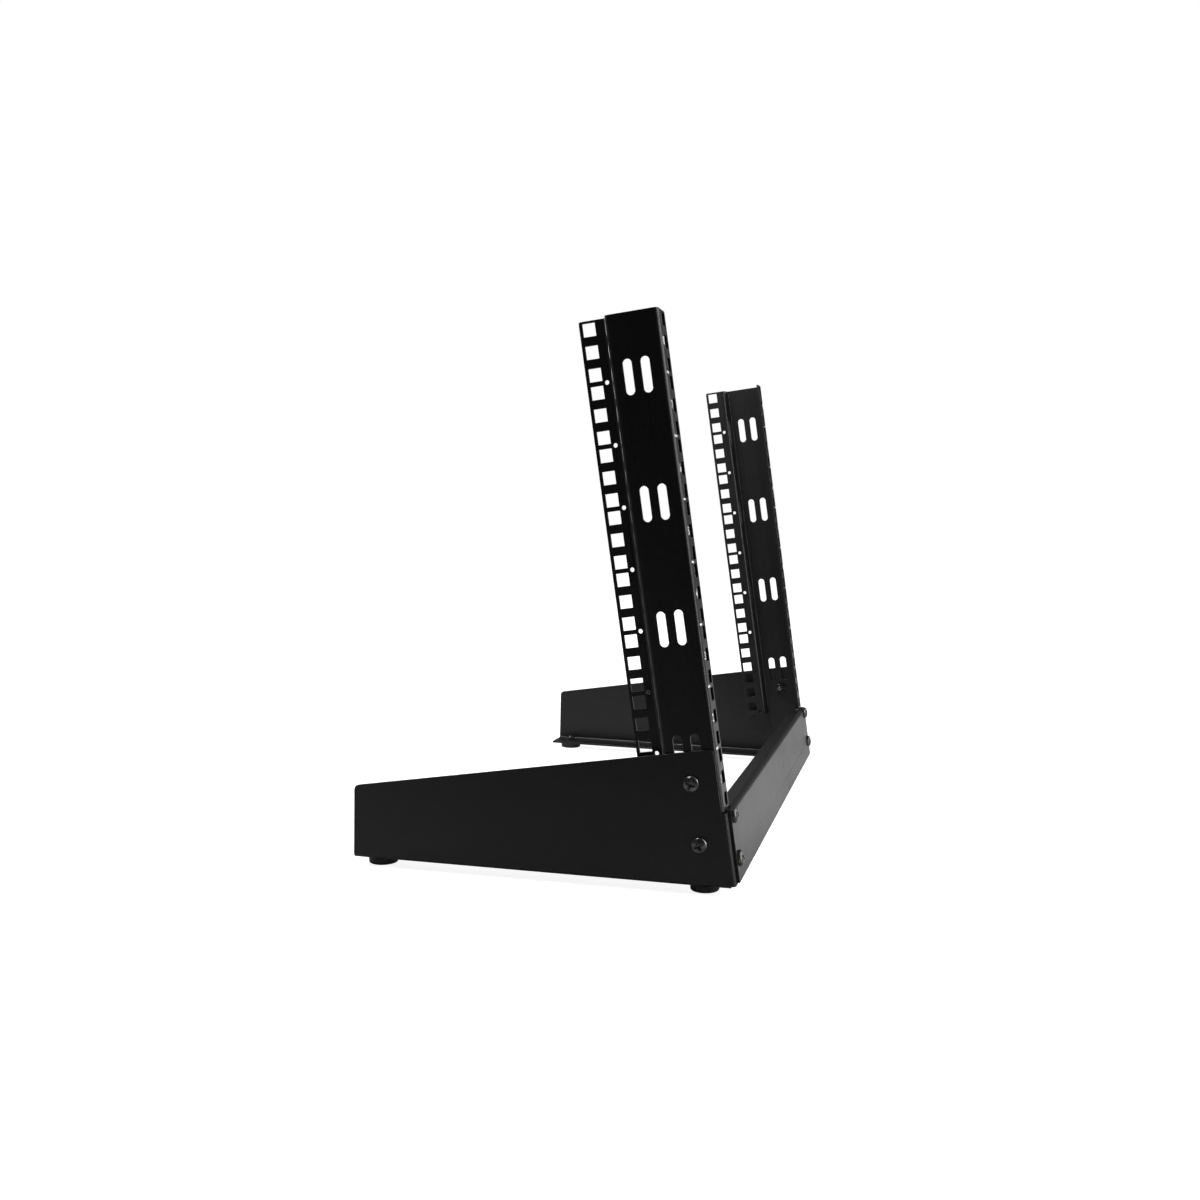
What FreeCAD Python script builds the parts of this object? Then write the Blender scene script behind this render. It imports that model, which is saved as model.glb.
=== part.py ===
import FreeCAD, Part
import math
import os
from FreeCAD import Placement, Rotation, Vector

# Two post open frame rack for a desk or shelf: two folded sheet posts that lean back on side brackets,
# tied by a cross panel. X is the width, the front faces -Y, +Z is up, and the feet stand on Z = 0.
# Each post is drawn upright: "across" runs from the middle plane outwards, "depth" from the square
# hole line of its rear strip towards the front, and "drop" from its top edge downwards.

# Rack grid, as on any 19 inch rack
rack_unit = 44.45
unit_count = 8
hole_offsets = (6.35, 22.225, 38.1)
rail_hole_spacing = 465.1
rail_opening = 450.0
square_hole = 9.5

# Sheet metal
post_sheet = 2.0
bracket_sheet = 2.0
panel_sheet = 2.0
bend_radius = 1.5
panel_bend_radius = 2.0
fold_stub = 0.01
seat_gap = 0.02

# Posts
lean_angle = 9.45
strip_inset = 9.4
strip_from_hole_line = 3.6
strip_rear_margin = 7.0
joggle_depth = 14.0
joggle_run = 2.8
front_depth = 53.1
top_margin = 0.0
post_corner = 1.6
strip_end_margin = 4.0
flange_end_margin = 0.8
tail_units = 1
tail_setback = 2.1
index_hole = 3.3
index_hole_depth = 7.8
slot_width = 6.7
slot_length = 25.4
slot_depths = (26.3, 39.2)
slot_pitch_units = 2
tie_hole_depth = 32.7
tie_hole_pitch = rack_unit

# Base brackets
bracket_length = 291.0
bracket_front_height = 102.0
bracket_top_drop = 310.5
bracket_corner = 4.0
bracket_flange = 28.0
flange_gap = 1.0
flange_lift = 1.8

# Cross panel
panel_height = 52.7
panel_edge_margin = 8.75
panel_bottom_gap = 2.9
panel_lip = 14.4
panel_lip_side_gap = 0.7
panel_relief = 1.5
panel_hole_drops = (6.35, 38.1)

# Feet
foot_top_diameter = 21.8
foot_base_diameter = 21.2
foot_height = 5.7
foot_stud_length = 6.5
front_foot_inset = 25.3
rear_foot_inset = 17.3

# Screws and nuts: M6 for the frame, M4 for the feet
frame_thread = 6.0
frame_clearance = 6.6
frame_head = 12.0
frame_head_crown = 9.6
frame_head_height = 3.5
frame_nut_flats = 10.0
frame_nut_height = 4.8
frame_screw_length = 12.0
foot_thread = 4.0
foot_nut_flats = 7.0
foot_nut_height = 3.0
thread_gap = 0.05

# Flats that stand for the round of small turned pieces
shank_sides = 16
head_sides = 24
foot_sides = 32

# Places that follow from the sizes above
rail_hole_x = rail_hole_spacing / 2
strip_x = rail_hole_x + strip_from_hole_line
web_x = strip_x + strip_inset
web_outside = web_x + post_sheet / 2
web_inside = web_x - post_sheet / 2
bracket_inside = web_outside + seat_gap
bracket_outside = bracket_inside + bracket_sheet
foot_x = bracket_outside - bracket_flange / 2
flange_line = front_depth - post_sheet / 2
outer_bend = bend_radius + bracket_sheet
bracket_front = front_depth + bracket_sheet
bend_line = bracket_front - outer_bend
panel_back = bracket_front + seat_gap
panel_front = panel_back + panel_sheet
panel_width = rail_hole_spacing + 2 * panel_edge_margin
grid_height = rack_unit * unit_count
post_length = grid_height + rack_unit * tail_units
flange_end = grid_height + flange_end_margin
bracket_flange_top = flange_end + flange_gap
corner_drop = bracket_top_drop + bracket_front_height
panel_bottom = corner_drop - panel_bottom_gap
lip_top = panel_bottom - panel_height
lip_bend_end = lip_top + panel_bend_radius + panel_sheet
lip_half = rail_opening / 2 - panel_lip_side_gap
lean = math.radians(lean_angle)
sine = math.sin(lean)
cosine = math.cos(lean)


def row_point(depth, drop):
    """Y and Z of a post place before the rack is set on its feet: a turn by the lean angle."""
    return -(depth * cosine + drop * sine), depth * sine - drop * cosine


# The base plane passes through the bracket's lower front corner
front_y, base_z = row_point(bracket_front, corner_drop)
rear_y = front_y + bracket_length
base_bend = base_z + outer_bend


def leaned(shape):
    """Lean an upright shape back by the posts' angle."""
    turned = shape.copy()
    turned.rotate(Vector(0, 0, 0), Vector(1, 0, 0), -lean_angle)
    return turned


def offset_corner(before, corner, after, radius):
    """Tangent points, middle point, centre and turning sense of one bend on a folded line."""
    arrive = (corner - before).normalize()
    leave = (after - corner).normalize()
    turn = arrive.getAngle(leave)
    setback = radius * math.tan(turn / 2)
    start = corner - arrive * setback
    end = corner + leave * setback
    side = 1 if arrive.cross(leave).z > 0 else -1
    normal = Vector(-arrive.y, arrive.x, 0) * side
    centre = start + normal * radius
    middle = centre + (corner - centre).normalize() * radius
    return start, middle, end, centre, side


def folded_face(points, thickness, inner_radius):
    """Cross-section of a sheet folded along a line of (x, y) points, with round bends."""
    line = [Vector(x, y, 0) for x, y in points]
    radius = inner_radius + thickness / 2
    bends = [offset_corner(*line[i - 1:i + 2], radius) for i in range(1, len(line) - 1)]
    edges = []
    ends = []
    for hand in (1, -1):
        reach = hand * thickness / 2
        first = (line[1] - line[0]).normalize()
        last = (line[-1] - line[-2]).normalize()
        place = line[0] + Vector(-first.y, first.x, 0) * reach
        finish = line[-1] + Vector(-last.y, last.x, 0) * reach
        ends.append((place, finish))
        for start, middle, end, centre, side in bends:
            scale = (radius - side * reach) / radius
            arc = [centre + (point - centre) * scale for point in (start, middle, end)]
            edges.append(Part.makeLine(place, arc[0]))
            edges.append(Part.Arc(*arc).toShape())
            place = arc[2]
        edges.append(Part.makeLine(place, finish))
    edges.append(Part.makeLine(ends[0][0], ends[1][0]))
    edges.append(Part.makeLine(ends[0][1], ends[1][1]))
    return Part.Face(Part.Wire(Part.__sortEdges__(edges)))


def upright(face, top_drop, bottom_drop):
    """Run a cross-section drawn in (across, depth) along the post, between two drops."""
    solid = face.extrude(Vector(0, 0, bottom_drop - top_drop))
    solid.translate(Vector(0, 0, top_drop))
    # depth becomes -Y and drop becomes -Z, a half turn about X
    solid.rotate(Vector(0, 0, 0), Vector(1, 0, 0), 180)
    return solid


def block(x_low, x_high, depth_low, depth_high, drop_low, drop_high):
    """A box given in across, depth and drop."""
    size = (x_high - x_low, depth_high - depth_low, drop_high - drop_low)
    return Part.makeBox(*size, Vector(x_low, -depth_high, -drop_high))


def square_cutter(through_web, x, depth, drop, reach):
    """A square hole, cut across the post or front to back."""
    half = square_hole / 2
    across, along = (reach, half) if through_web else (half, reach)
    return block(x - across, x + across, depth - along, depth + along, drop - half, drop + half)


def round_cutter(through_web, x, depth, drop, diameter, reach):
    """A round hole, cut across the post or front to back."""
    axis = Vector(1, 0, 0) if through_web else Vector(0, 1, 0)
    return Part.makeCylinder(diameter / 2, 2 * reach, Vector(x, -depth, -drop) - axis * reach, axis)


def slot_cutter(x, depth, drop, reach):
    """An upright slot with round ends through the web."""
    half = (slot_length - slot_width) / 2
    ends = [round_cutter(True, x, depth, drop + shift, slot_width, reach) for shift in (-half, half)]
    side = slot_width / 2
    middle = block(x - reach, x + reach, depth - side, depth + side, drop - half, drop + half)
    return middle.multiFuse(ends).removeSplitter()


def hole_drops():
    """Drops of the square holes, three to a rack unit."""
    return [unit * rack_unit + offset for unit in range(unit_count) for offset in hole_offsets]


def tie_drops():
    """Drops of the two screws that hold a post's web in its bracket."""
    first = grid_height - rack_unit / 2
    return [first, first + tie_hole_pitch]


def panel_drops():
    """Drops of the panel's screws, on the rail grid of the unit below the last."""
    return [grid_height + drop for drop in panel_hole_drops]


def tail_cutters():
    """What is cut off the folded post: strip and flange end below the grid, and the web's tail goes on."""
    far = 2 * strip_x
    below = 2 * post_length
    web_rear = joggle_depth + joggle_run / 2 + bend_radius + post_sheet / 2
    flange_back = front_depth - post_sheet - bend_radius - tail_setback
    return [block(0, far, -2 * strip_rear_margin, web_rear, grid_height + strip_end_margin, below),
            block(0, far, flange_back, 2 * front_depth, flange_end, below)]


def post_holes():
    """Square holes of strip and flange, index holes, cable tie slots and the holes for the tie screws."""
    reach = 2 * post_sheet
    cutters = []
    for drop in hole_drops():
        cutters.append(square_cutter(True, strip_x, 0, drop, reach))
        cutters.append(square_cutter(False, rail_hole_x, flange_line, drop, reach))
    for unit in range(1, unit_count + 1):
        cutters.append(round_cutter(True, strip_x, index_hole_depth, unit * rack_unit, index_hole, reach))
    for unit in range(1, unit_count, slot_pitch_units):
        for depth in slot_depths:
            cutters.append(slot_cutter(web_x, depth, unit * rack_unit, reach))
    for drop in tie_drops():
        cutters.append(round_cutter(True, web_x, tie_hole_depth, drop, frame_clearance, reach))
    return cutters


def short_edges(solid, thickness, axis):
    """Edges that run straight through the sheet along an axis."""
    return [edge for edge in solid.Edges
            if len(edge.Vertexes) == 2 and abs(edge.Length - thickness) < seat_gap
            and edge.tangentAt(edge.FirstParameter).cross(axis).Length < seat_gap]


def make_post():
    """Right-hand post: rear strip, joggle, web and front flange folded from one sheet."""
    half_run = joggle_run / 2
    line = [(strip_x, -strip_rear_margin), (strip_x, joggle_depth - half_run),
            (web_x, joggle_depth + half_run), (web_x, flange_line), (rail_opening / 2, flange_line)]
    post = upright(folded_face(line, post_sheet, bend_radius), top_margin, post_length)
    post = post.cut(tail_cutters())
    rear = [edge for edge in short_edges(post, post_sheet, Vector(1, 0, 0))
            if abs(edge.Vertexes[0].Point.y - strip_rear_margin) < seat_gap]
    tips = [edge for edge in short_edges(post, post_sheet, Vector(0, 1, 0))
            if abs(edge.Vertexes[0].Point.x - rail_opening / 2) < seat_gap]
    return leaned(post.makeFillet(post_corner, rear + tips).cut(post_holes()))


def make_side_plate():
    """Flat of the right-hand bracket: level base, square rear edge, top edge square to the post."""
    top_front = row_point(bend_line, bracket_top_drop)
    rear_top = top_front[1] - math.tan(lean) * (rear_y - top_front[0])
    outline = [(rear_y, base_bend), (rear_y, rear_top), top_front, low_front_corner()]
    points = [Vector(bracket_inside, y, z) for y, z in outline]
    plate = Part.Face(Part.makePolygon(points + [points[0]])).extrude(Vector(bracket_sheet, 0, 0))
    upper = [edge for edge in short_edges(plate, bracket_sheet, Vector(1, 0, 0))
             if edge.Vertexes[0].Point.z > base_bend + bracket_corner]
    return plate.makeFillet(bracket_corner, upper)


def low_front_corner():
    """Where the bend line of the bracket's front flange meets the bend line of its base."""
    return row_point(bend_line, (bend_line * sine - base_bend) / cosine)


def make_bracket():
    """Right-hand bracket: side plate, base flange for the feet, front flange for the panel, weld nuts."""
    flange_x = bracket_outside - bracket_flange
    mid_x = bracket_inside + bracket_sheet / 2
    # base flange: an L in X and Z, run along Y as far as the front flange's bend line
    level = base_z + bracket_sheet / 2
    elbow = [(mid_x, base_bend + fold_stub), (mid_x, level), (flange_x, level)]
    base = folded_face(elbow, bracket_sheet, bend_radius)
    base.rotate(Vector(0, 0, 0), Vector(1, 0, 0), 90)
    base.translate(Vector(0, rear_y, 0))
    base = base.extrude(Vector(0, low_front_corner()[0] - rear_y, 0))
    # front flange: an L in X and depth, run down the post's lean and cut off level, clear of the floor
    line = bracket_front - bracket_sheet / 2
    elbow = [(mid_x, bend_line - fold_stub), (mid_x, line), (flange_x, line)]
    face = folded_face(elbow, bracket_sheet, bend_radius)
    front = leaned(upright(face, bracket_flange_top, 2 * post_length))
    under = Part.makeBox(2 * bracket_outside, 2 * bracket_length, post_length)
    under.translate(Vector(0, -bracket_length, base_z + flange_lift - post_length))
    # the flange's inner corner makes room for the bend of the panel's lip
    room = leaned(block(0, lip_half + panel_lip_side_gap, 0, 2 * front_depth, 0, lip_bend_end + flange_gap))
    bracket = make_side_plate().multiFuse([base, front.cut([under, room])] + weld_nuts()).removeSplitter()
    return bracket.cut(bracket_holes())


def weld_nuts():
    """Nuts welded behind the front flange for the panel's screws and on the base for the feet."""
    rearward = Vector(0, 1, 0)
    nut = make_nut(frame_nut_flats, frame_nut_height)
    seat = bracket_front - bracket_sheet
    nuts = [on_post(nut, rearward, rail_hole_x, seat, drop) for drop in panel_drops()]
    foot_nut = make_nut(foot_nut_flats, foot_nut_height)
    return nuts + [on_base(foot_nut, y, bracket_sheet) for y in foot_places()]


def bracket_holes():
    """Holes for the tie screws, and the bores of the weld nuts through the sheet."""
    reach = frame_nut_height + 2 * bracket_sheet
    leaning = [round_cutter(True, bracket_inside, tie_hole_depth, drop, frame_clearance, 2 * bracket_sheet)
               for drop in tie_drops()]
    bore = thread_bore(frame_thread, -reach, reach)
    tapped = [on_post(bore, Vector(0, 1, 0), rail_hole_x, bracket_front, drop) for drop in panel_drops()]
    level = [on_base(thread_bore(foot_thread, -reach, reach), y, 0) for y in foot_places()]
    return [leaned(cutter) for cutter in leaning] + tapped + level


def foot_places():
    """Y of the front and the rear foot."""
    return [front_y + front_foot_inset, rear_y - rear_foot_inset]


def make_panel():
    """Cross panel: flat front with square ends and a lip folded back along its top between the posts."""
    # the fold is drawn in depth and drop, then run across the rack
    middle = panel_front - panel_sheet / 2
    level = lip_top + panel_sheet / 2
    line = [(panel_front - panel_lip, level), (middle, level), (middle, lip_bend_end + fold_stub)]
    fold = folded_face(line, panel_sheet, panel_bend_radius).extrude(Vector(0, 0, 2 * lip_half))
    fold.translate(Vector(0, 0, -lip_half))
    # depth and drop, drawn on x and y, become -Y and -Z, and the run becomes X
    fold.transformShape(FreeCAD.Matrix(0, 0, 1, 0, -1, 0, 0, 0, 0, -1, 0, 0, 0, 0, 0, 1))
    half = panel_width / 2
    flat = block(-half, half, panel_back, panel_front, lip_top, panel_bottom)
    # relief cuts free the fold's ends from the flat's own ends
    notch = lip_half + panel_relief
    cutters = [block(-notch, notch, 0, 2 * panel_front, 0, lip_bend_end)]
    for side in (-1, 1):
        low, high = sorted((side * lip_half, side * notch))
        cutters.append(block(low, high, 0, 2 * panel_front, 0, lip_bend_end + panel_relief))
    flat = flat.cut(cutters)
    holes = [round_cutter(False, side * rail_hole_x, panel_front, drop, frame_clearance, 2 * panel_sheet)
             for side in (-1, 1) for drop in panel_drops()]
    return leaned(flat.fuse(fold).removeSplitter().cut(holes))


def ring(radius, height, sides):
    """Corners of a regular polygon about Z."""
    turns = [math.radians(360 * side / sides) for side in range(sides)]
    return [Vector(radius * math.cos(turn), radius * math.sin(turn), height) for turn in turns]


def tapered(low_radius, low, high_radius, high, sides):
    """Flat-sided round body about Z that runs from one polygon to another."""
    lower = ring(low_radius, low, sides)
    upper = ring(high_radius, high, sides)
    outlines = [lower, upper]
    outlines += [[lower[side - 1], lower[side], upper[side], upper[side - 1]] for side in range(sides)]
    faces = [Part.Face(Part.makePolygon(outline + outline[:1])) for outline in outlines]
    return Part.Solid(Part.Shell(faces))


def thread_bore(diameter, low, high):
    """Cutter for a tapped hole; its flats touch the thread's round from outside."""
    radius = diameter / 2 / math.cos(math.pi / shank_sides)
    return tapered(radius, low, radius, high, shank_sides)


def thread_shank(diameter, length):
    """Threaded end along +Z, drawn plain and a little thinner than its bore."""
    radius = diameter / 2 - thread_gap
    return tapered(radius, -seat_gap, radius, length, shank_sides)


def make_foot():
    """Tapered round rubber foot with its moulded-in stud; the foot's top is at the origin."""
    pad = tapered(foot_base_diameter / 2, -foot_height, foot_top_diameter / 2, 0, foot_sides)
    return pad.fuse(thread_shank(foot_thread, foot_stud_length)).removeSplitter()


def make_screw():
    """Pan head screw along +Z with its head's seat at the origin."""
    head = tapered(frame_head_crown / 2, -frame_head_height, frame_head / 2, 0, head_sides)
    return head.fuse(thread_shank(frame_thread, frame_screw_length)).removeSplitter()


def make_nut(flats, height):
    """Hexagon prism along +Z from the origin, with two flats square to Y."""
    radius = flats / math.sqrt(3)
    return tapered(radius, 0, radius, height, 6)


def on_post(shape, direction, x, depth, drop):
    """Turn a piece drawn along +Z to a direction of the upright post and put it at a place on it."""
    piece = shape.copy()
    piece.Placement = Placement(Vector(x, -depth, -drop), Rotation(Vector(0, 0, 1), direction))
    return leaned(piece)


def on_base(shape, y, height):
    """Put a piece drawn along +Z at a foot's place, at a height over the base plane."""
    piece = shape.copy()
    piece.translate(Vector(foot_x, y, base_z + height))
    return piece


def right_half():
    """All pieces of the right-hand side by name."""
    inward = Vector(-1, 0, 0)
    rearward = Vector(0, 1, 0)
    screw = make_screw()
    bore = thread_bore(frame_thread, -seat_gap, frame_nut_height + seat_gap)
    nut = make_nut(frame_nut_flats, frame_nut_height).cut(bore)
    pieces = {"post": make_post(), "base_bracket": make_bracket()}
    outside = bracket_outside + seat_gap
    for name, drop in zip(("upper", "lower"), tie_drops()):
        pieces[name + "_side_screw"] = on_post(screw, inward, outside, tie_hole_depth, drop)
        pieces[name + "_side_nut"] = on_post(nut, inward, web_inside - seat_gap, tie_hole_depth, drop)
    for name, drop in zip(("upper", "lower"), panel_drops()):
        pieces[name + "_panel_screw"] = on_post(screw, rearward, rail_hole_x, panel_front + seat_gap, drop)
    for name, y in zip(("front", "rear"), foot_places()):
        pieces[name + "_foot"] = on_base(make_foot(), y, -seat_gap)
    return pieces


def build():
    """All pieces by name, set on the floor with the box of the whole centred on the origin along Y."""
    pieces = {"cross_panel": make_panel()}
    for name, shape in right_half().items():
        pieces["right_" + name] = shape
        pieces["left_" + name] = shape.mirror(Vector(0, 0, 0), Vector(1, 0, 0))
    boxes = [shape.optimalBoundingBox(False, False) for shape in pieces.values()]
    middle = (min(box.YMin for box in boxes) + max(box.YMax for box in boxes)) / 2
    floor = base_z - seat_gap - foot_height
    for shape in pieces.values():
        shape.translate(Vector(0, -middle, -floor))
    return pieces


os.makedirs("parts", exist_ok=True)
for node, shape in sorted(build().items()):
    shape.exportStep("parts/" + node + ".step")
    box = shape.BoundBox
    print(node, len(shape.Solids), shape.isValid(), round(shape.Volume, 1),
          [round(v, 2) for v in (box.XMin, box.YMin, box.ZMin, box.XMax, box.YMax, box.ZMax)])
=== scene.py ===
import math
import bmesh
import bpy
import numpy as np
from mathutils import Euler, Matrix, Vector


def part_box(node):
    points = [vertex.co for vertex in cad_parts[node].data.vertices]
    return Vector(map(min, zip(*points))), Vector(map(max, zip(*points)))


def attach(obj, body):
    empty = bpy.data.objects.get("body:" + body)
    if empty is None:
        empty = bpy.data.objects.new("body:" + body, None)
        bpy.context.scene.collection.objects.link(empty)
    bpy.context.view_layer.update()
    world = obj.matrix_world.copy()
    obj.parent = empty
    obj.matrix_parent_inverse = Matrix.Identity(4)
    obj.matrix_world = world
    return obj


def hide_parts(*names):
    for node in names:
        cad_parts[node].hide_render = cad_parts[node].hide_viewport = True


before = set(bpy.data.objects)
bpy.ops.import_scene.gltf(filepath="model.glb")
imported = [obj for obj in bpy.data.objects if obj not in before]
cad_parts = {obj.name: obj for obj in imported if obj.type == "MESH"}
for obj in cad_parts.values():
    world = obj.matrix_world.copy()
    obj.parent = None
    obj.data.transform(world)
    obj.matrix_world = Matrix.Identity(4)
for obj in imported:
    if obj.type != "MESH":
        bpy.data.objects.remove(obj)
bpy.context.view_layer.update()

print("rack frame loaded,", len(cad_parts), "nodes")
mm = 0.001  # the rack's sizes are in millimetres until they are multiplied by this
hands = {"left": -1, "right": 1}


# A shader value that can be added, subtracted and multiplied: each sign adds a Math node
class Value:
    def __init__(self, tree, socket):
        self.tree = tree
        self.socket = socket

    def maths(self, operation, first, second):
        node = self.tree.nodes.new("ShaderNodeMath")
        node.operation = operation
        plug(self.tree, first, node.inputs[0])
        plug(self.tree, second, node.inputs[1])
        return Value(self.tree, node.outputs[0])

    def __add__(self, other):
        return self.maths("ADD", self, other)

    def __radd__(self, other):
        return self.maths("ADD", other, self)

    def __sub__(self, other):
        return self.maths("SUBTRACT", self, other)

    def __rsub__(self, other):
        return self.maths("SUBTRACT", other, self)

    def __mul__(self, other):
        return self.maths("MULTIPLY", self, other)

    def __rmul__(self, other):
        return self.maths("MULTIPLY", other, self)


# A value goes into a socket as a link, a number or colour as its default
def plug(tree, value, slot):
    if isinstance(value, Value):
        tree.links.new(value.socket, slot)
    else:
        slot.default_value = value


# One material's or the world's nodes
class Nodes:
    def __init__(self, tree):
        self.tree = tree
        tree.nodes.clear()

    # a node of a type with its settings first, then the values or links of its sockets by name or number
    def add(self, kind, settings=None, sockets=None, output=0):
        node = self.tree.nodes.new("ShaderNode" + kind)
        for name, value in (settings or {}).items():
            setattr(node, name, value)
        for name, value in (sockets or {}).items():
            plug(self.tree, value, node.inputs[name])
        return Value(self.tree, node.outputs[output])

    def place(self):
        return self.add("TexCoord", output="Object")

    # the place along one axis: X, Y or Z
    def along(self, axis):
        return self.add("SeparateXYZ", None, {0: self.place()}, output=axis)

    # one of Light Path's answers, such as Is Camera Ray
    def lightPath(self, question):
        return self.add("LightPath", output=question)

    def noise(self, size, detail=2.0, roughness=0.5):
        return self.add("TexNoise", None, {"Vector": self.place(), "Scale": 1 / (size * mm),
                                           "Detail": detail, "Roughness": roughness})

    # 0 below low, 1 above high, smooth between
    def step(self, value, low, high):
        return self.add("MapRange", {"interpolation_type": "SMOOTHSTEP"},
                        {"Value": value, "From Min": low, "From Max": high})

    def mixColour(self, factor, first, second):
        first, second = (colour if isinstance(colour, Value) else (*colour, 1) for colour in (first, second))
        return self.add("Mix", {"data_type": "RGBA"}, {0: factor, 6: first, 7: second}, output=2)

    def bump(self, height, depth, normal=None):
        sockets = {"Height": height, "Distance": depth * mm, "Strength": 1.0}
        if normal:
            sockets["Normal"] = normal
        return self.add("Bump", None, sockets)

    def surface(self, sockets):
        shader = self.add("BsdfPrincipled", None, sockets)
        self.tree.links.new(shader.socket, self.tree.nodes.new("ShaderNodeOutputMaterial").inputs[0])


def newMaterial(name):
    material = bpy.data.materials.new(name)
    material.use_nodes = True
    return material, Nodes(material.node_tree)


def shaded(colour, shade):
    return tuple(shade * channel for channel in colour)


# Satin black powder coat: fine sandy texture, faint cloudiness, a few rubbed and dusty places. In each finish
# a pattern has its size, detail and roughness, and its steps say where it begins to show and shows fully.
coat = {
    "colour": (0.0085, 0.0085, 0.0088), "dusty": (0.017, 0.0168, 0.0165), "grainLight": 1.7,
    "grain": (0.32, 1.0), "grainDepth": 0.010, "grainSteps": (0.55, 0.75), "grainShare": 0.35,
    "peel": (1.7, 1.5), "peelDepth": 0.012,
    "cloud": (55, 4.0, 0.6), "cloudSteps": (0.42, 0.66), "cloudRough": 0.10,
    "dust": (9, 6.0, 0.7), "dustSteps": (0.56, 0.80), "dustShare": 0.55, "dustRough": 0.12,
    "roughness": 0.29, "ior": 1.33,
}


def powderCoat(name, shade):
    material, nodes = newMaterial(name)
    grain = nodes.noise(*coat["grain"])
    peel = nodes.noise(*coat["peel"])
    cloud = nodes.noise(*coat["cloud"])
    dust = nodes.step(nodes.noise(*coat["dust"]), *coat["dustSteps"]) * nodes.step(cloud, *coat["cloudSteps"])
    colour = shaded(coat["colour"], shade)
    tint = nodes.mixColour(dust * coat["dustShare"], colour, shaded(coat["dusty"], shade))
    light = nodes.step(grain, *coat["grainSteps"]) * coat["grainShare"]
    tint = nodes.mixColour(light, tint, shaded(colour, coat["grainLight"]))
    normal = nodes.bump(grain, coat["grainDepth"], nodes.bump(peel, coat["peelDepth"]))
    nodes.surface({"Base Color": tint, "Metallic": 0.0, "IOR": coat["ior"], "Normal": normal,
                   "Roughness": coat["roughness"] + cloud * coat["cloudRough"] + dust * coat["dustRough"]})
    return material


# Black zinc screws and nuts: dark metal with a thin oily film
zinc = {
    "colour": (0.060, 0.059, 0.060), "bright": (0.15, 0.145, 0.14), "metallic": 0.85, "roughness": 0.25,
    "speck": (0.7, 3.0), "speckDepth": 0.006, "speckRough": 0.12,
    "cloud": (5, 3.0), "cloudSteps": (0.4, 0.7),
}


def blackZinc(name, shade):
    material, nodes = newMaterial(name)
    speck = nodes.noise(*zinc["speck"])
    cloud = nodes.noise(*zinc["cloud"])
    tint = nodes.mixColour(nodes.step(cloud, *zinc["cloudSteps"]), shaded(zinc["colour"], shade),
                           shaded(zinc["bright"], shade))
    nodes.surface({"Base Color": tint, "Metallic": zinc["metallic"],
                   "Roughness": zinc["roughness"] + speck * zinc["speckRough"],
                   "Normal": nodes.bump(speck, zinc["speckDepth"])})
    return material


# Moulded rubber of the feet: matt, with a faint bloom
rubber = {
    "colour": (0.010, 0.010, 0.0103), "bloomColour": (0.022, 0.022, 0.0225), "roughness": 0.60, "ior": 1.45,
    "grain": (0.5, 2.0), "grainDepth": 0.012,
    "bloom": (4, 5.0, 0.65), "bloomSteps": (0.5, 0.8), "bloomShare": 0.6, "bloomRough": 0.15,
}


def blackRubber(name):
    material, nodes = newMaterial(name)
    grain = nodes.noise(*rubber["grain"])
    bloom = nodes.step(nodes.noise(*rubber["bloom"]), *rubber["bloomSteps"])
    tint = nodes.mixColour(bloom * rubber["bloomShare"], rubber["colour"], rubber["bloomColour"])
    nodes.surface({"Base Color": tint, "Roughness": rubber["roughness"] + bloom * rubber["bloomRough"],
                   "IOR": rubber["ior"], "Normal": nodes.bump(grain, rubber["grainDepth"])})
    return material


# How light each kind of piece has its finish, 1 being as written above. The posts, brackets and panel are
# lighter and darker copies of one powder coat: painted light and shade, each set to how brightly its part is
# lit. The nuts are a much darker copy of the screws' zinc.
shades = {"post": 0.8, "bracket": 0.88, "panel": 1.0, "screw": 1.0, "nut": 0.25}
postPaint = powderCoat("post_powder_coat", shades["post"])
bracketPaint = powderCoat("bracket_powder_coat", shades["bracket"])
panelPaint = powderCoat("panel_powder_coat", shades["panel"])
screwFinish = blackZinc("black_zinc", shades["screw"])
nutFinish = blackZinc("dark_black_zinc", shades["nut"])
footFinish = blackRubber("black_rubber")

# The first of these words in a node's name gives its finish, so that a panel screw counts as a screw
finishes = {"foot": footFinish, "screw": screwFinish, "nut": nutFinish,
            "panel": panelPaint, "bracket": bracketPaint, "post": postPaint}
for name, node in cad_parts.items():
    kind = next(word for word in finishes if word in name)
    node.data.materials.clear()
    node.data.materials.append(finishes[kind])
print("finishes made")


# The leaning posts' own grid: depth goes towards the front and drop down from the top edge.
# A side screw's middle, read off the frame, gives where the grid stands.
grid = {"lean": 9.45, "unit": 44.45, "units": 8, "screwDepth": 32.7, "screwDrop": 333.375, "front": 53.1}
sine = math.sin(math.radians(grid["lean"]))
cosine = math.cos(math.radians(grid["lean"]))
forward = Vector((0, -cosine, sine))
downward = Vector((0, -sine, -cosine))
lowCorner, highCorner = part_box("left_upper_side_screw")
gridTop = (lowCorner + highCorner) / 2 - (forward * grid["screwDepth"] + downward * grid["screwDrop"]) * mm
gridTop.x = 0


def postPoint(across, depth, drop):
    return gridTop + (Vector((across, 0, 0)) + forward * depth + downward * drop) * mm


# Adds a mesh piece that moves with the rack and, where nodes are named, stands for them
def addPiece(name, mesh, finish, nodes=()):
    mesh.materials.append(finish)
    piece = bpy.data.objects.new(name, mesh)
    bpy.context.scene.collection.objects.link(piece)
    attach(piece, "root")
    if nodes:
        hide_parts(*nodes)
    return piece


# Sheet metal with eased edges: a merged copy of the node's mesh and a narrow round on its sharp edges
softEdge = {"width": 0.18, "segments": 2, "angle": 35, "merge": 0.001, "flatAngle": 0.5, "levelWeight": 50}


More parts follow.
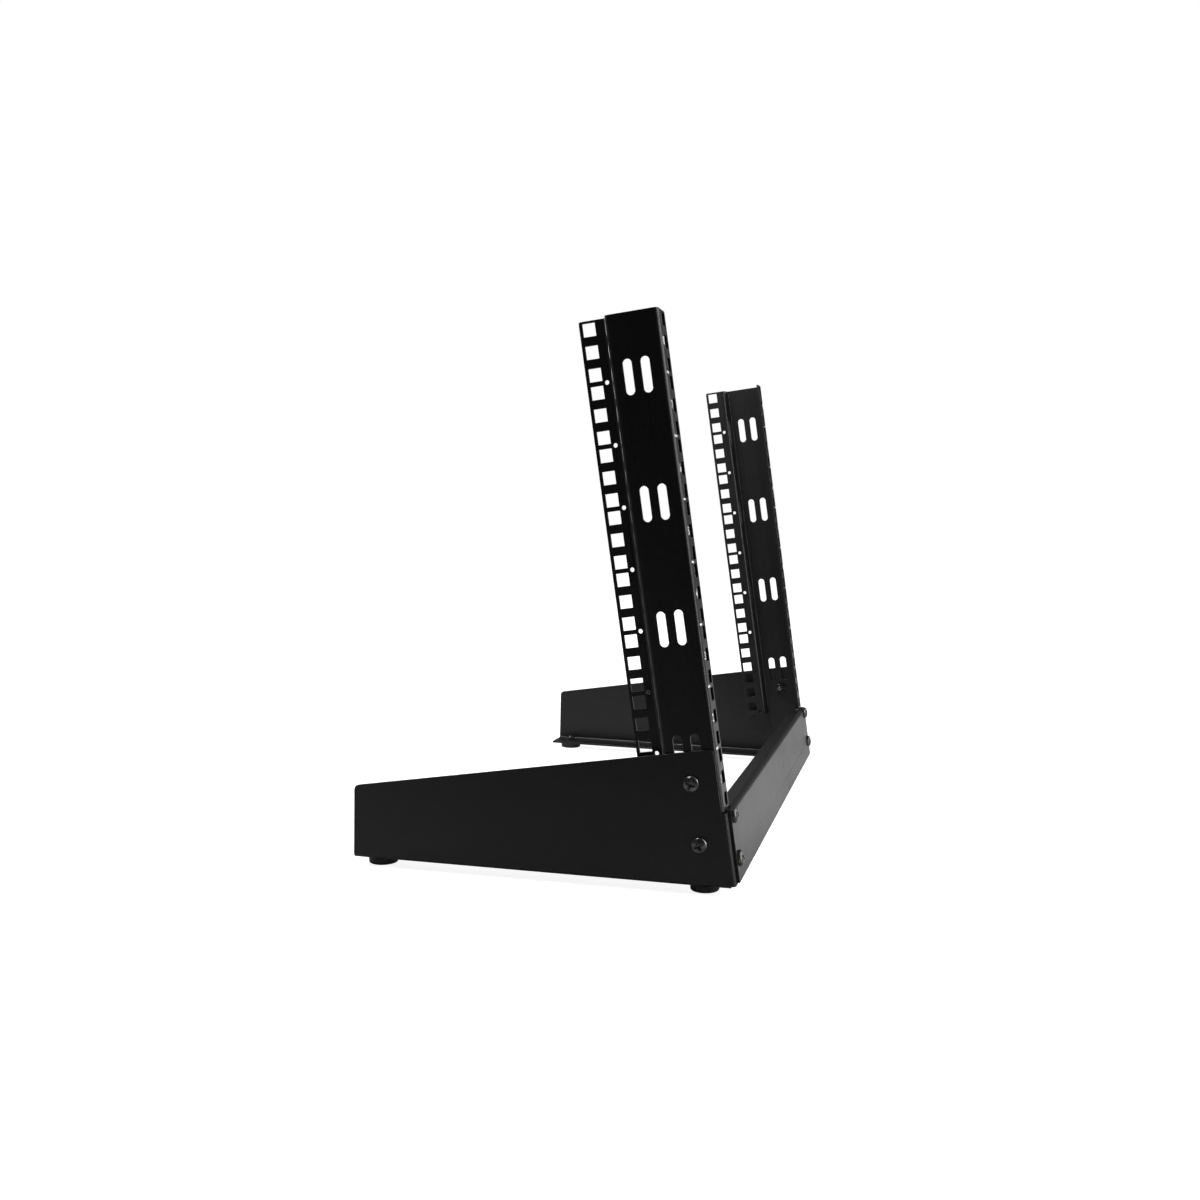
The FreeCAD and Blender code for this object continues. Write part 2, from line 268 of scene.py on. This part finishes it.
def easeEdges(name, finish):
    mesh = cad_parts[name].data.copy()
    mesh.materials.clear()
    flat = math.radians(softEdge["flatAngle"])
    sheet = bmesh.new()
    sheet.from_mesh(mesh)
    bmesh.ops.remove_doubles(sheet, verts=sheet.verts, dist=softEdge["merge"] * mm)
    bmesh.ops.dissolve_limit(sheet, angle_limit=flat, verts=sheet.verts, edges=sheet.edges)
    bmesh.ops.triangulate(sheet, faces=sheet.faces, quad_method="BEAUTY", ngon_method="BEAUTY")
    sheet.to_mesh(mesh)
    sheet.free()
    mesh.shade_smooth()
    piece = addPiece(name + "_sheet", mesh, finish, (name,))
    ease = piece.modifiers.new("ease", "BEVEL")
    ease.width = softEdge["width"] * mm
    ease.segments = softEdge["segments"]
    ease.limit_method = "ANGLE"
    ease.angle_limit = math.radians(softEdge["angle"])
    ease.use_clamp_overlap = False
    # large flats keep their own shading next to the narrow rounds
    level = piece.modifiers.new("level", "WEIGHTED_NORMAL")
    level.mode = "FACE_AREA"
    level.weight = softEdge["levelWeight"]


for side in hands:
    easeEdges(side + "_post", postPaint)
    easeEdges(side + "_base_bracket", bracketPaint)
easeEdges("cross_panel", panelPaint)
print("soft-edged sheets made")


# A closed mesh with every face turned outwards
def closedMesh(name, points, faces):
    mesh = bpy.data.meshes.new(name)
    mesh.from_pydata(points.tolist(), [], faces)
    shell = bmesh.new()
    shell.from_mesh(mesh)
    bmesh.ops.recalc_face_normals(shell, faces=shell.faces)
    shell.to_mesh(mesh)
    shell.free()
    return mesh


# A smooth closed mesh over rings of points: each row of the array is one ring, joined to the next by quads,
# and the first and last rings are closed by a face, or joined to each other where the piece is a loop
def skin(name, rings, loop=False):
    rows, columns = rings.shape[:2]
    index = np.arange(rows * columns).reshape(rows, columns)
    after = np.roll(index, -1, axis=0)
    if not loop:
        index, after = index[:-1], after[:-1]
    quads = np.stack([index, np.roll(index, -1, axis=1), np.roll(after, -1, axis=1), after], axis=-1)
    faces = quads.reshape(-1, 4).tolist()
    if not loop:
        faces += [index[0].tolist(), after[-1].tolist()]
    mesh = closedMesh(name, rings.reshape(-1, 3) * mm, faces)
    mesh.shade_smooth()
    return mesh


# An outline of radius and height whose corners are eased: each is a parabola between the points
# a set distance before and after it
def eased(corners, steps=7):
    points = [np.array([corners[0][:2]], float)]
    share = np.linspace(0, 1, steps)[:, None]
    for before, corner, following in zip(corners, corners[1:], corners[2:]):
        here = np.array(corner[:2], float)
        arrive = np.array(before[:2]) - here
        leave = np.array(following[:2]) - here
        first = here + arrive / np.linalg.norm(arrive) * corner[2]
        last = here + leave / np.linalg.norm(leave) * corner[2]
        points.append((1 - share) ** 2 * first + 2 * share * (1 - share) * here + share ** 2 * last)
    points.append(np.array([corners[-1][:2]], float))
    outline = np.concatenate(points)
    return outline[:, 0], outline[:, 1]


# Rings of a turned piece: at each step of the outline a circle of that radius and height. Where a thread
# is cut, the radius loses a triangle wave of height over pitch less the share of a turn.
def turnedRings(radius, height, columns, cut=None, pitch=1.0):
    turn = np.linspace(0, 2 * np.pi, columns, endpoint=False)[None, :]
    radius = np.broadcast_to(radius[:, None], (len(radius), columns)).copy()
    height = np.broadcast_to(height[:, None], radius.shape)
    if cut is not None:
        wave = np.abs(2 * ((height / pitch - turn / (2 * np.pi)) % 1) - 1)
        radius -= cut[:, None] * wave
    return np.stack([radius * np.cos(turn), radius * np.sin(turn), height], axis=-1)


# A piece drawn along +Z, turned to run along a direction with its own Y upwards, and put at a place
def put(piece, place, along, roll=0):
    along = Vector(along).normalized()
    sideways = Vector((0, 0, 1)).cross(along).normalized()
    turned = Matrix((sideways, along.cross(sideways), along)).transposed()
    turned = turned @ Matrix.Rotation(math.radians(roll), 3, "Z")
    piece.data.transform(Matrix.Translation(place) @ turned.to_4x4())


# Pan head screws with a cross recess: the head is a domed disc, radius and height the sine and cosine of
# an angle raised to a power under one, so that it is flatter on top than a ball. Its rings are closer
# together as far as the recess reaches.
screw = {
    "headRadius": 6.0, "headHeight": 3.5, "fullness": 2.5, "recessRings": 34, "rimRings": 16,
    "armLength": 3.4, "armWidth": 0.85, "armTaper": 0.45, "recessMargin": 0.4,
    "recessDepth": 2.1, "recessWall": 0.22,
    "shank": 2.95, "length": 12.0, "neck": 0.05, "pitch": 1.0, "ringsPerTurn": 9, "threadDepth": 0.55,
    "runIn": 1.0, "tip": 0.9, "tipLoss": 0.55, "tipThread": 0.3, "pole": 0.06, "columns": 72,
}


# 1 where an offset is less than its limit and 0 where it is more, over the width of the recess's wall
def inRecess(limit, offset):
    return np.clip((limit - np.abs(offset)) / screw["recessWall"] + 0.5, 0, 1)


def panHeadScrew(name, node, place, along, roll):
    near = np.linspace(screw["pole"], screw["armLength"] + screw["recessMargin"], screw["recessRings"])
    power = 2 / screw["fullness"]
    nearAngle = np.arcsin((near / screw["headRadius"]) ** (1 / power))
    rimAngle = np.linspace(nearAngle[-1], np.pi / 2, screw["rimRings"])[1:]
    angle = np.concatenate([nearAngle, rimAngle])
    headRadius = screw["headRadius"] * np.sin(angle) ** power
    headHeight = -screw["headHeight"] * np.clip(np.cos(angle), 0, 1) ** power
    rows = np.arange(screw["neck"], screw["length"], screw["pitch"] / screw["ringsPerTurn"])
    tip = np.clip((screw["length"] - rows) / screw["tip"], 0, 1)
    runIn = np.clip(rows / screw["runIn"], 0, 1)
    thread = screw["threadDepth"] * runIn * (screw["tipThread"] + (1 - screw["tipThread"]) * tip)
    radius = np.concatenate([headRadius, screw["shank"] - screw["tipLoss"] * (1 - tip), [screw["pole"]]])
    height = np.concatenate([headHeight, rows, [screw["length"]]])
    cut = np.concatenate([0 * headRadius, thread, [0]])
    rings = turnedRings(radius, height, screw["columns"], cut, screw["pitch"])
    # the recess is a cross: each arm sinks where a point is within its half width and length
    head = rings[:len(headRadius)]
    x, y = head[:, :, 0], head[:, :, 1]
    taper = 1 - screw["armTaper"] * np.hypot(x, y) / screw["armLength"]
    arms = [inRecess(screw["armWidth"] * taper, across) * inRecess(screw["armLength"], run)
            for across, run in ((x, y), (y, x))]
    head[:, :, 2] += np.maximum(*arms) * screw["recessDepth"] * np.clip(taper, 0, 1)
    piece = addPiece(name, skin(name, rings), screwFinish, (node,))
    put(piece, place, along, roll)


# Where the heads sit: out from the middle plane, towards the front and down the post, and how far
# each screw happens to be turned
seats = {
    "side": 248.59, "sideDrops": {"upper": grid["screwDrop"], "lower": grid["screwDrop"] + grid["unit"]},
    "panel": 232.55, "panelDepth": 57.14, "panelDrops": {"upper": 361.95, "lower": 393.7},
    "rolls": (18, 62, -31, 40, 11, 74, -20, 55),
}
rolls = iter(seats["rolls"])
for side, sign in hands.items():
    for level, drop in seats["sideDrops"].items():
        place = postPoint(sign * seats["side"], grid["screwDepth"], drop)
        name = f"{side}_{level}_side"
        panHeadScrew(name + "_pan_head", name + "_screw", place, (-sign, 0, 0), next(rolls))
    for level, drop in seats["panelDrops"].items():
        place = postPoint(sign * seats["panel"], seats["panelDepth"], drop)
        name = f"{side}_{level}_panel"
        panHeadScrew(name + "_pan_head", name + "_screw", place, -forward, next(rolls))
print("screws made")


# Hexagon nuts: each row runs round the nut at the flats' distance, and the chamfer is a cone
# that takes the corners off at both ends
nut = {"flats": 10.0, "height": 4.8, "bore": 3.0, "mouth": 3.35, "chamferFrom": 4.75, "chamfer": 30,
       "sharpAngle": 20, "columns": 96, "seat": 244.53}


def hexNut(name, node, place, along):
    turn = np.linspace(0, 2 * np.pi, nut["columns"], endpoint=False)
    hexagon = nut["flats"] / 2 / np.cos((turn % (np.pi / 3)) - np.pi / 6)
    drop = np.maximum(hexagon - nut["chamferFrom"], 0) * math.tan(math.radians(nut["chamfer"]))
    face = np.minimum(hexagon, nut["chamferFrom"])
    lead = nut["mouth"] - nut["bore"]
    rows = [(nut["bore"], lead), (nut["mouth"], 0), (face, 0), (hexagon, drop),
            (hexagon, nut["height"] - drop), (face, nut["height"]),
            (nut["mouth"], nut["height"]), (nut["bore"], nut["height"] - lead)]
    rings = np.array([[radius * np.cos(turn), radius * np.sin(turn), height + 0 * turn]
                      for radius, height in rows])
    mesh = skin(name, rings.transpose(0, 2, 1), loop=True)
    mesh.set_sharp_from_angle(angle=math.radians(nut["sharpAngle"]))
    piece = addPiece(name, mesh, nutFinish, (node,))
    put(piece, place, along)


for side, sign in hands.items():
    for level, drop in seats["sideDrops"].items():
        place = postPoint(sign * nut["seat"], grid["screwDepth"], drop)
        hexNut(f"{side}_{level}_side_hex_nut", f"{side}_{level}_side_nut", place, (-sign, 0, 0))
print("nuts made")


# Rubber feet with eased rims, a hollow underside and a pit round the stud, and their steel studs
foot = {
    "top": 10.9, "base": 10.6, "height": 5.7, "clearance": 0.05, "rimEase": 1.3, "topEase": 0.6,
    "hollow": 5.2, "hollowDepth": 1.0, "hollowEase": 0.4, "slope": 0.8, "slopeEase": 0.5,
    "pitMouth": 0.6, "pitFloor": 0.5, "pitDepth": 0.3, "mouthEase": 0.2, "floorEase": 0.1,
    "stud": 1.95, "studTop": 12.2, "studSunk": 0.35, "pitch": 0.7, "ringsPerTurn": 8, "threadDepth": 0.38,
    "tip": 0.6, "tipLoss": 0.35, "pole": 0.05, "padColumns": 72, "studColumns": 48,
}


def rubberFoot(name):
    low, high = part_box(name)
    middle = (low + high) / 2
    place = Vector((middle.x, middle.y, 0))
    top = foot["height"] - foot["clearance"]
    pit = foot["height"] - foot["pitDepth"]
    radius, height = eased([
        (foot["pole"], foot["hollowDepth"]), (foot["hollow"], foot["hollowDepth"], foot["hollowEase"]),
        (foot["hollow"] + foot["slope"], 0, foot["slopeEase"]), (foot["base"], 0, foot["rimEase"]),
        (foot["top"], top, foot["topEase"]), (foot["stud"] + foot["pitMouth"], top, foot["mouthEase"]),
        (foot["stud"] + foot["pitFloor"], pit, foot["floorEase"]), (foot["pole"], pit)])
    pad = skin(name + "_pad", turnedRings(radius, height, foot["padColumns"]))
    addPiece(name + "_pad", pad, footFinish, (name,)).data.transform(Matrix.Translation(place))
    rows = np.arange(foot["height"] - foot["studSunk"], foot["studTop"], foot["pitch"] / foot["ringsPerTurn"])
    tip = np.clip((foot["studTop"] - rows) / foot["tip"], 0, 1)
    radius = np.concatenate([[foot["pole"]], foot["stud"] - foot["tipLoss"] * (1 - tip), [foot["pole"]]])
    height = np.concatenate([rows[:1], rows, [foot["studTop"]]])
    cut = np.concatenate([[0], foot["threadDepth"] * tip, [0]])
    stud = skin(name + "_stud", turnedRings(radius, height, foot["studColumns"], cut, foot["pitch"]))
    addPiece(name + "_stud", stud, screwFinish).data.transform(Matrix.Translation(place))


for side in hands:
    for end in ("front", "rear"):
        rubberFoot(f"{side}_{end}_foot")
print("feet made")


# White print on both posts' front flanges: a line at each unit's edge and its number between two lines
printed = {
    "across": 240.3, "lineWidth": 7.0, "lineHeight": 1.5, "thickness": 0.03,
    "digitHeight": 5.6, "digitShare": 0.70, "digitBold": 0.18,
    "ink": (0.78, 0.78, 0.77), "worn": (0.52, 0.52, 0.51), "roughness": 0.45, "ior": 1.4,
    "wear": (1.1, 4.0, 0.7), "wearSteps": (0.52, 0.72), "wearShare": 0.7, "wearRough": 0.2,
    "grain": 0.6, "grainDepth": 0.004,
}
inkPaint, nodes = newMaterial("white_ink")
wear = nodes.step(nodes.noise(*printed["wear"]), *printed["wearSteps"])
nodes.surface({"Base Color": nodes.mixColour(wear * printed["wearShare"], printed["ink"], printed["worn"]),
               "Roughness": printed["roughness"] + wear * printed["wearRough"], "IOR": printed["ior"],
               "Normal": nodes.bump(nodes.noise(printed["grain"]), printed["grainDepth"])})


# The lines are thin boxes, one box's corners set out again at each unit's edge
def unitLines(name, sign):
    box = np.array([(x, y, z) for x in (-0.5, 0.5) for y in (0, 1) for z in (-0.5, 0.5)])
    sides = np.array([(0, 1, 3, 2), (4, 6, 7, 5), (0, 4, 5, 1), (2, 3, 7, 6), (0, 2, 6, 4), (1, 5, 7, 3)])
    lines = np.arange(grid["units"] - 1)[:, None, None]
    local = box * (printed["lineWidth"], printed["thickness"], printed["lineHeight"])
    local = local + (sign * printed["across"], grid["front"], grid["unit"])
    local = local + lines * (0, 0, grid["unit"])
    axes = np.array([(1, 0, 0), forward, downward])
    corners = np.array(gridTop) + local @ axes * mm
    faces = (sides + lines * len(box)).reshape(-1, 4).tolist()
    addPiece(name, closedMesh(name, corners.reshape(-1, 3), faces), inkPaint)


# The numbers are one piece of text, a line to each unit, counted up from the foot of the rack
def unitNumbers(name, sign):
    size = printed["digitHeight"] / printed["digitShare"]
    letters = bpy.data.curves.new(name, "FONT")
    letters.body = "\n".join(str(grid["units"] - unit) for unit in range(grid["units"]))
    letters.size = size * mm
    letters.space_line = grid["unit"] / size
    letters.align_x = "CENTER"
    letters.offset = printed["digitBold"] * mm
    letters.extrude = printed["thickness"] / 2 * mm
    mesh = bpy.data.meshes.new_from_object(bpy.data.objects.new(name, letters))
    mesh.materials.clear()
    first = postPoint(sign * printed["across"], grid["front"] + printed["thickness"] / 2,
                      grid["unit"] / 2 + printed["digitHeight"] / 2)
    turned = Matrix((Vector((1, 0, 0)), -downward, forward)).transposed()
    mesh.transform(Matrix.Translation(first) @ turned.to_4x4())
    addPiece(name, mesh, inkPaint)


for side, sign in hands.items():
    unitLines(side + "_unit_lines", sign)
    unitNumbers(side + "_unit_numbers", sign)
print("print made")


# Camera at the photograph's angle, from the rack's own hole rows, in metres and degrees
view = {"place": (-1.05695, -0.27029, 0.27065), "turn": (84.7321, -1.9616, -80.4193),
        "lens": 35.458, "sensor": 36, "shift": (-0.11254, 0.02026), "nearest": 0.01}
camera = bpy.data.objects.new("camera", bpy.data.cameras.new("camera"))
camera.location = view["place"]
camera.rotation_euler = Euler([math.radians(angle) for angle in view["turn"]], "XYZ")
camera.data.lens = view["lens"]
camera.data.sensor_width = view["sensor"]
camera.data.shift_x, camera.data.shift_y = view["shift"]
camera.data.clip_start = view["nearest"]
bpy.context.scene.collection.objects.link(camera)
bpy.context.scene.camera = camera


# Lamps: place, aim, width and height in metres, and watts. The inner one hangs just inside the near post and
# lights the faces that look at each other, which leaves the near post's outside in shade. The narrow ones
# draw thin light lines along the folds.
lamps = {
    "inner": ((-0.21, 0.25, 0.85), (0.25, 0, 0.25), 0.3, 0.3, 10),
    "front right": ((1.3, -1.9, 1.1), (0, 0, 0.2), 1.0, 1.0, 21),
    "front strip": ((-0.215, -0.85, 0.5), (-0.05, 0, 0.25), 0.05, 1.0, 7.5),
    "rear right": ((1.25, 1.8, 0.9), (0, 0, 0.2), 0.4, 1.5, 46),
}
for name, (place, aim, width, height, watts) in lamps.items():
    lamp = bpy.data.objects.new(name, bpy.data.lights.new(name, "AREA"))
    lamp.data.shape = "RECTANGLE"
    lamp.data.size = width
    lamp.data.size_y = height
    lamp.data.energy = watts
    lamp.location = place
    lamp.rotation_euler = (Vector(aim) - Vector(place)).to_track_quat("-Z", "Y").to_euler()
    lamp.visible_camera = False
    bpy.context.scene.collection.objects.link(lamp)
print("camera and lamps set")


# Surroundings: white for the camera and through glass, nearly dark for the light that they give, and in
# reflections a room that is brighter on the right. Steps are in metres, or in the world along a direction.
studio = {
    "fill": 0.003, "mirrorLeft": 0.010, "mirrorRight": 0.11, "mirrorSteps": (0.0, 0.9),
    "floorColour": 0.42, "floorRoughness": 0.9, "floorGloss": 0.1, "floorReach": 6,
    "floorNear": 0.90, "floorFar": 1.1, "fadeSteps": (0.45, 1.2),
    "floorMirror": 0.43, "rightSteps": (-0.35, 0.05), "floorRear": 0.30, "rearSteps": (-0.05, 0.45),
}
world = bpy.data.worlds.new("studio")
bpy.context.scene.world = world
world.use_nodes = True
sky = Nodes(world.node_tree)
seen = sky.lightPath("Is Camera Ray") + sky.lightPath("Is Transmission Ray")
rightward = sky.step(sky.along("X"), *studio["mirrorSteps"])
room = studio["mirrorLeft"] + (studio["mirrorRight"] - studio["mirrorLeft"]) * rightward
strength = seen + (1 - seen) * (studio["fill"] + room * sky.lightPath("Is Glossy Ray"))
background = sky.add("Background", None, {"Color": (1, 1, 1, 1), "Strength": strength})
world.node_tree.links.new(background.socket, world.node_tree.nodes.new("ShaderNodeOutputWorld").inputs[0])

# Pale floor that keeps the rack's shadow and turns into the white of the surroundings further off. The rack
# mirrors its right side, and more faintly its rear.
floorMesh = bpy.data.meshes.new("floor")
reach = studio["floorReach"]
floorMesh.from_pydata([(-reach, -reach, 0), (reach, -reach, 0), (reach, reach, 0), (-reach, reach, 0)], [],
                      [(0, 1, 2, 3)])
floor = bpy.data.objects.new("floor", floorMesh)
bpy.context.scene.collection.objects.link(floor)
floorPaint, nodes = newMaterial("floor_white")
seen = nodes.lightPath("Is Camera Ray") + nodes.lightPath("Is Transmission Ray")
away = nodes.add("VectorMath", {"operation": "LENGTH"}, {0: nodes.place()}, output="Value")
fade = nodes.step(away, *studio["fadeSteps"])
rightward = nodes.step(nodes.along("X"), *studio["rightSteps"])
rearward = nodes.step(nodes.along("Y"), *studio["rearSteps"])
reflected = rightward * studio["floorMirror"] + (1 - rightward) * rearward * studio["floorRear"]
glow = (seen * (studio["floorNear"] + (studio["floorFar"] - studio["floorNear"]) * fade)
        + nodes.lightPath("Is Glossy Ray") * reflected)
glowColour = nodes.add("VectorMath", {"operation": "SCALE"}, {0: (1, 1, 1), "Scale": glow})
nodes.surface({"Base Color": (*shaded((1, 1, 1), studio["floorColour"]), 1),
               "Roughness": studio["floorRoughness"], "Specular IOR Level": studio["floorGloss"],
               "Emission Color": glowColour, "Emission Strength": 1.0})
floorMesh.materials.append(floorPaint)

bpy.context.scene.view_settings.view_transform = "Standard"
print("scene ready")
